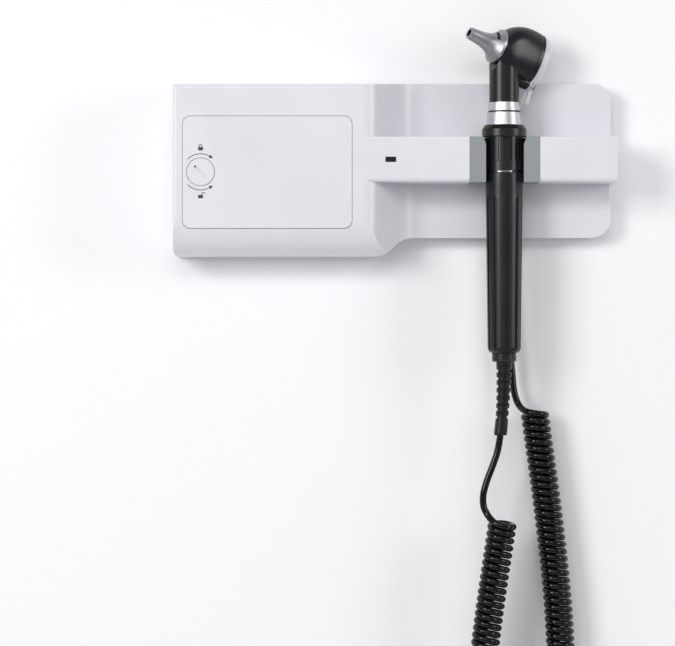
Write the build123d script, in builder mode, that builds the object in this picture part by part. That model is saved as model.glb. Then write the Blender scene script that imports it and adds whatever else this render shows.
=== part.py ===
"""Wall-mounted otoscope set: battery wall unit, corded handset with swing lens, and curly cord.

Frame: +X to the right along the wall, +Z up, the wall is the plane Y = 0 and the viewer is at -Y.
The origin is the centre of the four wall-screw holes, on the rear face. Lengths are millimetres.
"""
import math
import os

from build123d import *

# ---------------------------------------------------------------- wall unit
unit_half_width = 152.5
unit_depth = 48.0
unit_bottom = -59.0
top_rear = 62.2            # the top face slopes down towards the front
top_draft = 4.2            # degrees
plate_depth = 14.0         # right-hand recess plate stands this far off the wall
plate_bottom = -45.85
plate_right = 151.0
plate_corner = 14.6
front_right = -16.0        # where the battery box's front and its sloping side would meet
valley = 10.0              # where the sloping side and the plate would meet
sweep_radius = 26.0        # big rounding under the front face
shell = 2.4                # moulded wall thickness
rim_gap = 0.5              # housing rim stands this far off the wall

rail_low, rail_high = -8.4, 22.8
rail_right = 152.3
window_centre = (-3.0, 7.1)        # indicator window in the front view
screw_y = -8.0
screw_places = ((-125, unit_bottom), (-45, unit_bottom), (128, plate_bottom))
screw_head_radius, screw_head_height = 2.8, 1.5
screw_sink = 1.6                   # the heads sit in pockets this deep

# battery door and its quarter-turn lock
door_left, door_right = -145.7, -29.6
door_low, door_high = -40.0, 36.7
door_thick = 2.2
door_corner = 5.5
seam = 0.3
knob_x, knob_z = -133.3, -1.5
knob_radius = 9.4

# ---------------------------------------------------------------- handset
hand_x, hand_y = 75.3, -35.0       # handle axis
grip_radius, grip_foot_radius = 12.85, 11.4
grip_top, grip_bottom = -1.4, -125.5
taper_top, taper_foot = -8.0, -122.0
flute_count, flute_width, flute_depth = 10, 2.1, 0.75
flute_top, flute_turn = -18.5, 275.0   # degrees round the handle, from +X
core_radius, core_bore = 9.6, 8.4
ring_low, ring_high = -0.2, 28.2   # brightness ring
collar_low = 23.15
collar_radius = 15.3
neck_radius, neck_bore = 10.25, 8.4
neck_low = 46.76
relief_top, relief_end = -131.7, -182.4
relief_end_x = 72.65

# optical head: the axis tilts up and towards the viewer
head_z = 83.2
head_tilt = math.radians(21)
head_turn = math.radians(27)
tip = Vector(
    -math.cos(head_tilt) * math.cos(head_turn),
    -math.cos(head_tilt) * math.sin(head_turn),
    math.sin(head_tilt),
)
side = Vector(math.sin(head_turn), -math.cos(head_turn), 0)
tip_reach = 29.5                   # speculum tip, from the handle axis
flange_front, flange_back = 7.0, 5.5
slot_front, slot_back = 11.4, 9.6  # bayonet slot in the speculum's skirt
case_front, case_back = 4.2, -22.2
rim_front, rim_back = -22.6, -25.1
lens_front, lens_back = -25.45, -29.4
pivot_drop = 15.0                  # lens pivot below the optical axis

# ---------------------------------------------------------------- cord
cord_diameter = 4.7
coil_diameter = 20.3
gland_x, gland_y = 78.0, -7.2      # where the cord leaves the wall unit
gland_end = -55.0

# ---------------------------------------------------------------- wall cradle
cradle_left, cradle_right = 51.1, 99.2
slot_radius = 13.1
slot_mouth = 15.1                  # radius of the flared top of the slot

# ---------------------------------------------------------------- batteries, C size
cell_radius, cell_length = 13.1, 50.0
cell_y = -26.5
cell_rows = (12.9, -16.1)
tray_centre_x, tray_centre_z = -88.0, -1.6
tray_width, tray_height = 111.0, 62.0
tray_front, tray_back = -41.0, -11.5

hand_axis = Axis((hand_x, hand_y, 0), (0, 0, 1))
hand_plane = Plane(origin=(hand_x, hand_y, 0), x_dir=(1, 0, 0), z_dir=(0, -1, 0))
head_centre = Vector(hand_x, hand_y, head_z)
head_plane = Plane(origin=head_centre, x_dir=side, z_dir=tip)
head_axis = Axis(head_centre, tip)
head_half_plane = Plane(origin=head_centre, x_dir=side, z_dir=side.cross(tip))

os.makedirs("parts", exist_ok=True)
written = []


def save(part, node):
    """Label one finished piece and write it as its own STEP file."""
    part.label = node
    export_step(part, f"parts/{node}.step")
    written.append(node)


def box_between(low, high):
    """A block between two opposite corners."""
    with BuildPart() as block:
        with Locations(((low[0] + high[0]) / 2, (low[1] + high[1]) / 2, (low[2] + high[2]) / 2)):
            Box(high[0] - low[0], high[1] - low[1], high[2] - low[2])
    return block.part


def turned(points):
    """A piece turned about the handle axis, from (radius, height) points."""
    with BuildPart() as piece:
        with BuildSketch(hand_plane):
            with BuildLine():
                Polyline(*points, close=True)
            make_face()
        revolve(axis=hand_axis)
    return piece.part


def rod(start, end, radius):
    """A round bar between two points."""
    along = Vector(*end) - Vector(*start)
    with BuildPart() as bar:
        with BuildSketch(Plane(origin=start, z_dir=along)):
            Circle(radius)
        extrude(amount=along.length)
    return bar.part


# ================================================================ wall unit: shells
def front_outline(inset):
    """Front view of the unit: tall battery box on the left, shallower plate on the right."""
    points = [
        (-unit_half_width, top_rear),
        (-unit_half_width, unit_bottom),
        (-7.0, unit_bottom),
        (6.0, plate_bottom),
        (plate_right, plate_bottom),
        (plate_right, top_rear),
    ]
    radii = [2.5, 3.0, 18.0, 18.0, plate_corner, plate_corner]
    with BuildSketch(Plane.XZ.offset(-100)) as outline:
        with BuildLine():
            FilletPolyline(*points, radius=radii, close=True)
        make_face()
        if inset:
            offset(amount=-inset, kind=Kind.INTERSECTION)
    return outline.sketch


def plan_outline(inset):
    """Plan view: flat front, a sloping side that runs out into the plate, open at the wall."""
    rear = -rim_gap + (10 if inset else 0)
    points = [
        (-unit_half_width, rear),
        (-unit_half_width, -unit_depth),
        (front_right, -unit_depth),
        (valley, -plate_depth),
        (plate_right, -plate_depth),
        (plate_right, rear),
    ]
    with BuildSketch(Plane.XY.offset(-100)) as outline:
        with BuildLine():
            FilletPolyline(*points, radius=[0, 2.5, 14.0, 28.0, 2.0, 0], close=True)
        make_face()
        if inset:
            offset(amount=-inset, kind=Kind.INTERSECTION)
    return outline.sketch


def side_outline(inset):
    """Side view: sloping top, flat front, and the large sweep under it."""
    rear = -rim_gap + (10 if inset else 0)
    front_top = top_rear - unit_depth * math.tan(math.radians(top_draft))
    points = [
        (rear, unit_bottom),
        (-unit_depth, unit_bottom),
        (-unit_depth, front_top),
        (rear, front_top + (unit_depth + rear) * math.tan(math.radians(top_draft))),
    ]
    with BuildSketch(Plane.YZ.offset(-200)) as outline:
        with BuildLine():
            FilletPolyline(*points, radius=[0, sweep_radius, 3.0, 0], close=True)
        make_face()
        if inset:
            offset(amount=-inset, kind=Kind.INTERSECTION)
    return outline.sketch


def rail_bar(inset):
    """The rail: level with the box's front, softly rounded below and crisp above."""
    front, low, high = -unit_depth + inset, rail_low + inset, rail_high - inset
    with BuildPart() as bar:
        with BuildSketch(Plane.YZ.offset(front_right - 12)) as section:
            with BuildLine():
                FilletPolyline(
                    (-plate_depth / 2, low),
                    (front, low),
                    (front, high),
                    (-plate_depth / 2, high),
                    radius=[0, max(3.0 - inset, 0.4), max(1.2 - inset, 0.4), 0],
                    close=True,
                )
            make_face()
        extrude(amount=rail_right - inset - front_right + 12)
    return bar.part


def unit_block(inset):
    """The unit's outer form as the common part of its three views, with its rail."""
    with BuildPart() as block:
        extrude(plan_outline(inset), amount=200, dir=(0, 0, 1))
        extrude(front_outline(inset), amount=200, dir=(0, -1, 0), mode=Mode.INTERSECT)
        extrude(side_outline(inset), amount=400, dir=(1, 0, 0), mode=Mode.INTERSECT)
        add(rail_bar(inset))
    return block.part


def slab(outline, depth_from, depth_to):
    """Extrude a front-view sketch between two distances off the wall."""
    with BuildPart() as piece:
        extrude(outline, amount=depth_to - depth_from, dir=(0, -1, 0))
    return Pos(0, -depth_from - 100, 0) * piece.part


door_centre = ((door_left + door_right) / 2, (door_low + door_high) / 2)
door_width = door_right - door_left
door_height = door_high - door_low
cavity = unit_block(shell)

with BuildPart() as front_housing:
    add(unit_block(0))
    add(cavity, mode=Mode.SUBTRACT)
    # door opening
    with BuildSketch(Plane.XZ.offset(unit_depth + 1)) as opening:
        with Locations(door_centre):
            RectangleRounded(door_width + 2 * seam, door_height + 2 * seam, door_corner + seam)
    extrude(amount=-(shell + 2), mode=Mode.SUBTRACT)
    # the cradle insert fills this break in the rail
    add(
        box_between(
            (cradle_left - 0.15, -unit_depth - 1, rail_low - 1),
            (cradle_right + 0.15, -plate_depth - 0.01, rail_high + 1),
        ),
        mode=Mode.SUBTRACT,
    )
    # walls that close the plate behind the insert and the cut ends of the rail
    add(
        box_between(
            (cradle_left - 3, -plate_depth, rail_low - 1.0),
            (cradle_right + 3, -plate_depth + shell, rail_high + 1.0),
        )
    )
    # indicator window
    with BuildSketch(Plane.XZ.offset(unit_depth + 1)) as window_hole:
        with Locations(window_centre):
            RectangleRounded(7.4, 3.7, 0.5)
    extrude(amount=-(shell + 2), mode=Mode.SUBTRACT)
    # hole for the cord gland in the underside
    with BuildSketch(Plane.XY.offset(plate_bottom - 1)) as gland_hole:
        with Locations((gland_x, gland_y)):
            Circle(3.6)
    extrude(amount=5, mode=Mode.SUBTRACT)
    # pads, holes and sunk pockets for the screws that hold the rear plate
    for x, z in screw_places:
        with Locations((x, screw_y, z + shell + 0.4)):
            Cylinder(4.0, 1.2)
        with Locations((x, screw_y, z + 2)):
            Cylinder(1.7, 6, mode=Mode.SUBTRACT)
        with Locations((x, screw_y, z + screw_sink / 2 - 1)):
            Cylinder(screw_head_radius + 0.2, screw_sink + 2, mode=Mode.SUBTRACT)
    # posts for the driver board, on the inside of the rail's front
    with BuildSketch(Plane.XZ.offset(31.6)) as posts:
        with Locations((12, 7.2), (40, 7.2)):
            Circle(2.6)
            Circle(0.95, mode=Mode.SUBTRACT)
    extrude(amount=unit_depth - 31.6 - shell + 0.2)
save(front_housing.part, "front_housing")

plate_inset = shell + 0.3
block_lift = shell + 1.1           # the blocks stand clear of the pads on the housing
with BuildPart() as rear_plate:
    add(slab(front_outline(plate_inset), 0, 2.6))
    add(box_between((-200, -10, top_rear - 4.5), (200, 10, top_rear + 9)), mode=Mode.SUBTRACT)
    # blocks that the housing screws bite into
    for x, z in screw_places:
        add(box_between((x - 5, -11.0, z + block_lift), (x + 5, -2.0, z + block_lift + 11)))
        add(box_between((x - 5, -2.6, z + plate_inset), (x + 5, 0, z + block_lift + 1)), mode=Mode.ADD)
        with Locations((x, screw_y, z + 6)):
            Cylinder(1.3, 12, mode=Mode.SUBTRACT)
    # four holes for the wall screws
    with BuildSketch(Plane.XZ) as wall_holes:
        with GridLocations(200, 64, 2, 2):
            Circle(2.5)
    extrude(amount=3, mode=Mode.SUBTRACT)
save(rear_plate.part, "rear_plate")

with BuildPart() as housing_screws:
    for x, z in screw_places:
        with Locations((x, screw_y, z + screw_sink - screw_head_height / 2)):
            Cylinder(screw_head_radius, screw_head_height)
        with Locations((x, screw_y, z + screw_sink + 4.6)):
            Cylinder(1.2, 9.4)
save(housing_screws.part, "housing_screws")

# ================================================================ cradle insert
cradle_front = -unit_depth
cradle_back = -plate_depth - 0.3
with BuildPart() as cradle_insert:
    add(box_between((cradle_left, cradle_front, rail_low), (cradle_right, cradle_back, rail_high)))
    # U-shaped slot that holds the handle
    with BuildSketch(Plane.XY.offset(rail_low - 1)) as slot:
        with Locations((hand_x, hand_y)):
            Circle(slot_radius)
        with Locations((hand_x, (hand_y + cradle_front) / 2 - 2)):
            Rectangle(2 * slot_radius, hand_y - cradle_front + 4)
    extrude(amount=rail_high - rail_low + 2, mode=Mode.SUBTRACT)
    # flared top that the collar sits on
    flare_low = rail_high - 5.0
    with BuildSketch(Plane.XY.offset(flare_low)) as flare_foot:
        with Locations((hand_x, hand_y)):
            Circle(slot_radius)
        with Locations((hand_x, (hand_y + cradle_front) / 2 - 2)):
            Rectangle(2 * slot_radius, hand_y - cradle_front + 4)
    extrude(amount=5.0, taper=-math.degrees(math.atan((slot_mouth - slot_radius) / 5.0)), mode=Mode.SUBTRACT)
    # hollow cheeks, open at the back
    cheek = shell
    for low_x, high_x in (
        (cradle_left + cheek, hand_x - slot_mouth - cheek),
        (hand_x + slot_mouth + cheek, cradle_right - cheek),
    ):
        add(
            box_between(
                (low_x, cradle_front + cheek, rail_low + cheek),
                (high_x, cradle_back + 1, rail_high - cheek),
            ),
            mode=Mode.SUBTRACT,
        )
save(cradle_insert.part, "cradle_insert")

# ================================================================ battery door and lock
with BuildPart() as battery_door:
    with BuildSketch(Plane.XZ.offset(unit_depth - door_thick)) as door_face:
        with Locations(door_centre):
            RectangleRounded(door_width, door_height, door_corner)
    extrude(amount=door_thick)
    # stiffening rim on the inside
    with BuildSketch(Plane.XZ.offset(unit_depth - door_thick)) as rim:
        with Locations(door_centre):
            RectangleRounded(door_width - 8, door_height - 8, door_corner - 2)
            RectangleRounded(door_width - 11, door_height - 11, door_corner - 3.5, mode=Mode.SUBTRACT)
    extrude(amount=-2.0)
    # two tongues on the right edge, which hook behind the housing and act as the hinge
    for z in (door_low + 16, door_high - 16):
        add(box_between((door_right - 8, -45.9, z - 6), (door_right - 2.2, -43.0, z + 6)))
        add(box_between((door_right - 4, -44.8, z - 6), (door_right + 3.2, -43.0, z + 6)))
    # bore for the lock's shaft and a shallow dish round the knob
    with BuildSketch(Plane.XZ.offset(unit_depth - door_thick - 5)) as shaft_bore:
        with Locations((knob_x, knob_z)):
            Circle(3.08)
    extrude(amount=10, mode=Mode.SUBTRACT)
    with BuildSketch(Plane.XZ.offset(unit_depth - 1.1)) as dish:
        with Locations((knob_x, knob_z)):
            Circle(knob_radius + 0.5)
    extrude(amount=5, mode=Mode.SUBTRACT)
    # the rim is cut away where the cam swings
    add(
        box_between((door_left + 2, -45.79, knob_z - 17), (door_left + 9, -43.0, knob_z + 17)),
        mode=Mode.SUBTRACT,
    )
save(battery_door.part, "battery_door")

lock_plane = Plane(origin=(knob_x, 0, knob_z), x_dir=(1, 0, 0), z_dir=(0, -1, 0))
with BuildPart() as lock_knob:
    with BuildSketch(lock_plane.offset(unit_depth - 1.0)) as knob_disc:
        Circle(knob_radius)
    extrude(amount=1.3)
    chamfer(lock_knob.edges().filter_by(GeomType.CIRCLE).sort_by(Axis.Y)[0], 0.3)
    with BuildSketch(lock_plane.offset(44.9)) as knob_shaft:
        Circle(3.0)
    extrude(amount=3.2)
    with BuildSketch(lock_plane.offset(42.0)) as knob_square:
        Rectangle(3.6, 3.6)
    extrude(amount=3.0)
    with BuildSketch(lock_plane.offset(unit_depth + 0.4)) as coin_slot:
        with Locations(Rotation(0, 0, -45)):
            SlotOverall(12.0, 1.6)
    extrude(amount=-0.8, mode=Mode.SUBTRACT)
save(lock_knob.part, "lock_knob")

with BuildPart() as lock_cam:
    with BuildSketch(lock_plane.offset(42.2)) as cam_plan:
        Circle(5.2)
        with Locations((0, -6.1)):
            Rectangle(6.0, 12.2)
        with Locations((0, -12.2)):
            Circle(3.0)
        Rectangle(3.7, 3.7, mode=Mode.SUBTRACT)
    extrude(amount=1.5)
save(lock_cam.part, "lock_cam")

with BuildPart() as lock_clip:
    with BuildSketch(lock_plane.offset(41.3)) as clip_plan:
        Circle(3.6)
        Circle(0.9, mode=Mode.SUBTRACT)
    extrude(amount=0.6)
save(lock_clip.part, "lock_clip")

# ================================================================ battery compartment
with BuildPart() as battery_tray:
    add(
        box_between(
            (tray_centre_x - tray_width / 2, tray_front, tray_centre_z - tray_height / 2),
            (tray_centre_x + tray_width / 2, tray_back, tray_centre_z + tray_height / 2),
        )
    )
    add(
        box_between(
            (tray_centre_x - tray_width / 2 + 1.5, tray_front - 1, tray_centre_z - tray_height / 2 + 1.5),
            (tray_centre_x + tray_width / 2 - 1.5, cell_y + 2, tray_centre_z + tray_height / 2 - 1.5),
        ),
        mode=Mode.SUBTRACT,
    )
    # half-round cradles under the two rows of cells
    for z in cell_rows:
        with BuildSketch(Plane.YZ.offset(tray_centre_x - tray_width / 2 + 1.5)) as cell_bed:
            with Locations((cell_y, z)):
                Circle(cell_radius + 0.25)
        extrude(amount=tray_width - 3.0, mode=Mode.SUBTRACT)
save(battery_tray.part, "battery_tray")


def dry_cell(middle_x, row_z, plus_side):
    """A C cell lying along X; plus_side is +1 or -1."""
    cell_plane = Plane(origin=(middle_x, cell_y, row_z), x_dir=(0, 0, 1), z_dir=(0, -1, 0))
    half = cell_length / 2
    profile = [
        (0, -half),
        (cell_radius - 4, -half),
        (cell_radius - 3.2, -half + 0.8),
        (cell_radius - 1, -half + 0.8),
        (cell_radius, -half + 1.8),
        (cell_radius, half - 3.4),
        (cell_radius - 1, half - 2.4),
        (4.2, half - 2.0),
        (3.4, half - 1.6),
        (3.4, half - 0.3),
        (3.0, half),
        (0, half),
    ]
    with BuildPart() as cell:
        with BuildSketch(cell_plane):
            with BuildLine():
                Polyline(*[(r, plus_side * x) for r, x in profile], close=True)
            make_face()
        revolve(axis=Axis((middle_x, cell_y, row_z), (1, 0, 0)))
    return cell.part


battery_number = 0
for row_z, plus_side in zip(cell_rows, (1, -1)):
    for middle_x in (tray_centre_x - cell_length / 2, tray_centre_x + cell_length / 2):
        battery_number += 1
        save(dry_cell(middle_x, row_z, plus_side), f"battery_{battery_number}")

tray_inner_left = tray_centre_x - tray_width / 2 + 1.5
tray_inner_right = tray_centre_x + tray_width / 2 - 1.5


def leaf_contact(x_wall, x_cell, row_z):
    """A bent strip that bears on a cell's flat end."""
    bow = (x_wall + x_cell) / 2
    wall_face = x_wall + math.copysign(0.4, x_cell - x_wall)
    with BuildPart() as leaf:
        with BuildSketch(Plane.XZ.offset(-cell_y - 4)):
            with BuildLine():
                Polyline(
                    (x_wall, row_z - 9),
                    (wall_face, row_z - 9),
                    (bow, row_z - 8),
                    (x_cell, row_z),
                    (bow, row_z + 8),
                    (wall_face, row_z + 9),
                    (x_wall, row_z + 9),
                    (x_wall, row_z + 8.4),
                    (bow - (bow - x_wall) * 0.4, row_z + 7.2),
                    (x_cell + (x_wall - x_cell) * 0.25, row_z),
                    (bow - (bow - x_wall) * 0.4, row_z - 7.2),
                    (x_wall, row_z - 8.4),
                    close=True,
                )
            make_face()
        extrude(amount=8)
    return leaf.part


cell_gap = 0.05
left_end = tray_centre_x - cell_length + cell_gap
right_end = tray_centre_x + cell_length - cell_gap
save(leaf_contact(tray_inner_left, left_end - 2 * cell_gap, cell_rows[0]), "negative_contact")
with BuildPart() as positive_contact:
    add(
        box_between(
            (tray_inner_left, cell_y - 4, cell_rows[1] - 7),
            (tray_inner_left + 0.6, cell_y + 4, cell_rows[1] + 7),
        )
    )
    add(
        box_between(
            (tray_inner_left, cell_y - 2.5, cell_rows[1] - 2.5),
            (left_end - 2 * cell_gap, cell_y + 2.5, cell_rows[1] + 2.5),
        )
    )
save(positive_contact.part, "positive_contact")
with BuildPart() as link_contact:
    add(leaf_contact(tray_inner_right, right_end + 2 * cell_gap, cell_rows[1]))
    add(
        box_between(
            (tray_inner_right - 0.6, cell_y - 4, cell_rows[1] + 8.4),
            (tray_inner_right, cell_y + 1.9, cell_rows[0] + 7),
        )
    )
    add(
        box_between(
            (right_end + 2 * cell_gap, cell_y - 2.5, cell_rows[0] - 2.5),
            (tray_inner_right, cell_y + 2.5, cell_rows[0] + 2.5),
        )
    )
save(link_contact.part, "link_contact")

# ================================================================ driver electronics in the rail
board_y = -30.0
with BuildPart() as driver_board:
    add(box_between((-12, board_y - 1.6, -4.4), (46, board_y, 18.8)))
    with BuildSketch(Plane.XZ.offset(-board_y - 1)) as board_holes:
        with Locations((12, 7.2), (40, 7.2)):
            Circle(1.2)
    extrude(amount=4, mode=Mode.SUBTRACT)
save(driver_board.part, "driver_board")

with BuildPart() as board_screws:
    for x in (12, 40):
        with Locations(Location((x, board_y + 0.6, 7.2), (90, 0, 0))):
            Cylinder(2.0, 1.2)
        with Locations(Location((x, board_y - 3.5, 7.2), (90, 0, 0))):
            Cylinder(0.9, 7.0)
save(board_screws.part, "board_screws")

with BuildPart() as boost_coil:
    with Locations(Location((26, board_y - 1.6 - 2.5, 1.5), (90, 0, 0))):
        Cylinder(4.6, 5.0)
    with Locations(Location((26, board_y - 1.6 - 2.5, 1.5), (90, 0, 0))):
        Cylinder(3.6, 3.0)
save(boost_coil.part, "boost_coil")

with BuildPart() as smoothing_capacitor:
    with Locations(Location((26, board_y - 1.6 - 4.0, 13.2), (90, 0, 0))):
        Cylinder(3.2, 8.0)
save(smoothing_capacitor.part, "smoothing_capacitor")

with BuildPart() as driver_chip:
    add(box_between((-9, board_y, 3.0), (-4, board_y + 1.5, 8.0)))
    for step in range(4):
        z = 3.7 + 1.2 * step
        add(box_between((-10, board_y, z), (-9, board_y + 0.4, z + 0.4)))
        add(box_between((-4, board_y, z), (-3, board_y + 0.4, z + 0.4)))
save(driver_chip.part, "driver_chip")

with BuildPart() as board_connector:
    add(box_between((2.0, board_y, -3.4), (10.0, board_y + 6.0, 2.4)))
    add(box_between((3.0, board_y + 2.0, -2.4), (9.0, board_y + 7.0, 1.4)), mode=Mode.SUBTRACT)
save(board_connector.part, "board_connector")

with BuildPart() as reed_switch:
    add(rod((44.6, board_y - 2.9, 0.5), (44.6, board_y - 2.9, 13.5), 1.25))
    add(rod((44.6, board_y - 2.9, -2.0), (44.6, board_y - 2.9, 16.0), 0.3))
save(reed_switch.part, "reed_switch")

with BuildPart() as indicator_led:
    add(box_between((-4.6, board_y - 3.2, 5.6), (-1.4, board_y - 1.6, 8.6)))
save(indicator_led.part, "indicator_led")

with BuildPart() as indicator_window:
    with BuildSketch(Plane.XZ.offset(-board_y + 3.4)) as light_pipe:
        with Locations(window_centre):
            Rectangle(4.0, 2.4)
    extrude(amount=unit_depth + board_y - 3.4 - 1.0)
    with BuildSketch(Plane.XZ.offset(unit_depth - shell)) as window_face:
        with Locations(window_centre):
            RectangleRounded(7.2, 3.5, 0.4)
    extrude(amount=shell - 0.1)
    with BuildSketch(Plane.XZ.offset(unit_depth - shell - 1.0)) as window_flange:
        with Locations(window_centre):
            Rectangle(9.6, 5.6)
    extrude(amount=0.95)
save(indicator_window.part, "indicator_window")


def wire(points, bend, radius):
    """A thin insulated lead along straight runs with equal bends."""
    with BuildPart() as lead:
        with BuildLine() as run:
            FilletPolyline(*points, radius=bend)
        with BuildSketch(Plane(origin=points[0], z_dir=Vector(*points[1]) - Vector(*points[0]))):
            Circle(radius)
        sweep()
    return lead.part


battery_leads = [
    wire([(-87.0 + s, -9.0, 30.5), (-87.0 + s, -6.5, 36), (-20 + s, -6.5, 36), (-20 + s, -10.0, 4 - s),
          (3.9 + s, -22.8, 0.9)], 1.6, 0.65)
    for s in (0, 2.6)
]
save(Compound(children=battery_leads), "battery_leads")

# ================================================================ cord gland on the underside
with BuildPart() as cord_gland:
    with BuildSketch(Plane(origin=(gland_x, gland_y, 0), x_dir=(1, 0, 0), z_dir=(0, -1, 0))) as gland_half:
        with BuildLine():
            Polyline(
                (0, gland_end),
                (3.3, gland_end),
                (3.9, plate_bottom - 2.5),
                (5.4, plate_bottom - 2.0),
                (5.4, plate_bottom - 0.05),
                (3.5, plate_bottom - 0.05),
                (3.5, plate_bottom + shell + 0.1),
                (4.4, plate_bottom + shell + 0.1),
                (4.4, plate_bottom + shell + 2.0),
                (0, plate_bottom + shell + 2.0),
                close=True,
            )
        make_face()
    revolve(axis=Axis((gland_x, gland_y, 0), (0, 0, 1)))
save(cord_gland.part, "cord_gland")

output_leads = [
    wire([(gland_x + s, gland_y, plate_bottom + shell + 2.0), (gland_x + s, gland_y, -20 + s),
          (30 + s, gland_y, -14 + s), (20 + s, gland_y, 3 + s), (8.2 - s, -23.0, -1.4)], 2.0, 0.65)
    for s in (-1.0, 1.0)
]
save(Compound(children=output_leads), "output_leads")

# ================================================================ handset: handle
with BuildPart() as handle_grip:
    add(
        turned(
            [
                (core_radius + 0.05, grip_top),
                (grip_radius - 0.4, grip_top),
                (grip_radius, grip_top - 0.5),
                (grip_radius, taper_top),
                (grip_foot_radius, taper_foot),
                (grip_foot_radius - 0.5, grip_bottom + 1.5),
                (grip_foot_radius - 2.2, grip_bottom),
                (6.0, grip_bottom),
                (6.0, -119.5),
                (core_radius + 0.05, -119.5),
            ]
        )
    )
    # round-ended flutes that follow the taper
    taper = math.atan((grip_radius - grip_foot_radius) / (taper_top - taper_foot))
    flute_middle = (flute_top + grip_bottom + 2) / 2
    flute_floor = grip_radius - (taper_top - flute_middle) * math.tan(taper) - flute_depth
    for number in range(flute_count):
        turn = math.radians(flute_turn + 360 / flute_count * number)
        outward = Vector(math.cos(turn), math.sin(turn), 0)
        middle = Vector(hand_x, hand_y, flute_middle) + outward * flute_floor
        along = outward * math.sin(taper) + Vector(0, 0, math.cos(taper))
        normal = outward * math.cos(taper) - Vector(0, 0, math.sin(taper))
        with BuildSketch(Plane(origin=middle, x_dir=along, z_dir=normal)) as flute:
            SlotOverall(flute_top - grip_bottom - 2, flute_width)
        extrude(amount=3, mode=Mode.SUBTRACT)
save(handle_grip.part, "handle_grip")

save(
    turned([(core_bore, -119.0), (core_radius, -119.0), (core_radius, 28.0), (core_bore, 28.0)]),
    "handle_core",
)

rib_count = 20
ring_radius = 12.75
with BuildPart() as brightness_ring:
    add(
        turned(
            [
                (core_radius + 0.06, ring_low),
                (ring_radius - 0.15, ring_low),
                (ring_radius - 0.15, 6.2),
                (ring_radius, 6.5),
                (ring_radius, collar_low),
                (collar_radius - 0.3, collar_low),
                (collar_radius, collar_low + 0.3),
                (collar_radius, ring_high),
                (core_radius + 0.06, ring_high),
            ]
        )
    )
    for number in range(rib_count):
        turn = 360 / rib_count * number
        outward = Vector(math.cos(math.radians(turn)), math.sin(math.radians(turn)), 0)
        middle = Vector(hand_x, hand_y, 14.6) + outward * (ring_radius - 0.7)
        with BuildSketch(Plane(origin=middle, x_dir=(0, 0, 1), z_dir=outward)) as rib_gap:
            SlotOverall(15.2, 1.7)
        extrude(amount=1.6, mode=Mode.SUBTRACT)
save(brightness_ring.part, "brightness_ring")

save(
    turned(
        [
            (core_radius + 0.05, ring_high + 0.25),
            (collar_radius - 0.1, ring_high + 0.25),
            (13.8, 31.05),
            (12.9, 31.3),
            (core_radius + 0.05, 31.3),
        ]
    ),
    "collar_trim",
)

save(
    turned(
        [
            (7.2, 21.0),
            (core_bore - 0.05, 21.0),
            (core_bore - 0.05, 28.1),
            (core_radius, 28.1),
            (core_radius, 31.35),
            (12.45, 31.35),
            (11.4, 39.9),
            (9.0, 39.9),
            (9.0, 40.0),
            (8.8, 40.0),
            (8.8, 46.2),
            (7.2, 46.2),
        ]
    ),
    "handle_cone",
)

lug_low, lug_high = 42.8, 44.2
with BuildPart() as bayonet_lugs:
    for number in range(3):
        with BuildSketch(Plane(origin=(hand_x, hand_y, lug_low), x_dir=(1, 0, 0))) as lug:
            with Locations(Rotation(0, 0, 120 * number + 40)):
                with Locations((9.25, 0)):
                    Rectangle(0.9, 3.0)
        extrude(amount=lug_high - lug_low)
save(bayonet_lugs.part, "bayonet_lugs")

save(turned([(9.05, 40.1), (10.8, 40.1), (11.0, 40.5), (10.8, 40.85), (9.05, 40.85)]), "head_seal")

with BuildPart() as dimmer_board:
    add(box_between((hand_x - 7, hand_y - 0.8, -70), (hand_x + 7, hand_y + 0.8, 18)))
save(dimmer_board.part, "dimmer_board")

with BuildPart() as dimmer_control:
    add(box_between((hand_x - 4.5, hand_y - 5.2, -4), (hand_x + 4.5, hand_y - 0.8, 6)))
    add(rod((hand_x, hand_y - 5.2, 1), (hand_x, hand_y - 7.6, 1), 1.6))
save(dimmer_control.part, "dimmer_control")

save(rod((hand_x, hand_y + 5.2, 3), (hand_x, hand_y + 5.2, 13), 2.6), "handle_magnet")

save(
    turned([(0, 30.0), (7.15, 30.0), (7.15, 36.0), (4.0, 36.0), (4.0, 38.5), (2.3, 38.5), (2.3, 34.0), (0, 34.0)]),
    "contact_insulator",
)
save(turned([(0, 34.05), (2.2, 34.05), (2.2, 38.0), (1.4, 38.0), (1.4, 41.5), (0, 42.3)]), "contact_plunger")

save(
    turned(
        [
            (5.4, grip_bottom - 0.05),
            (8.1, grip_bottom - 0.05),
            (8.4, grip_bottom - 0.5),
            (8.4, relief_top + 1.0),
            (7.6, relief_top),
            (5.4, relief_top),
        ]
    ),
    "handle_end_ring",
)

with BuildPart() as strain_relief:
    sweep_drop = relief_top - relief_end
    for share, radius in ((0, 5.5), (0.3, 4.95), (0.6, 4.5), (0.8, 4.3), (1, 4.15)):
        drift = (relief_end_x - hand_x) * share ** 2
        slope = 2 * (relief_end_x - hand_x) * share / sweep_drop
        section = Plane(
            origin=(hand_x + drift, hand_y, relief_top - sweep_drop * share),
            x_dir=(0, 1, 0),
            z_dir=(slope, 0, -1),
        )
        with BuildSketch(section):
            Circle(radius)
    loft()
    add(turned([(0, relief_top), (5.35, relief_top), (5.35, -119.4), (7.5, -119.4), (7.5, -116), (0, -116)]))
save(strain_relief.part, "strain_relief")


# ================================================================ handset: optical head
def head_turned(points):
    """A piece turned about the optical axis, from (radius, reach towards the tip) points."""
    with BuildPart() as piece:
        with BuildSketch(head_half_plane) as half:
            with BuildLine():
                Polyline(*points, close=True)
            make_face()
        revolve(axis=head_axis)
    return piece.part


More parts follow.
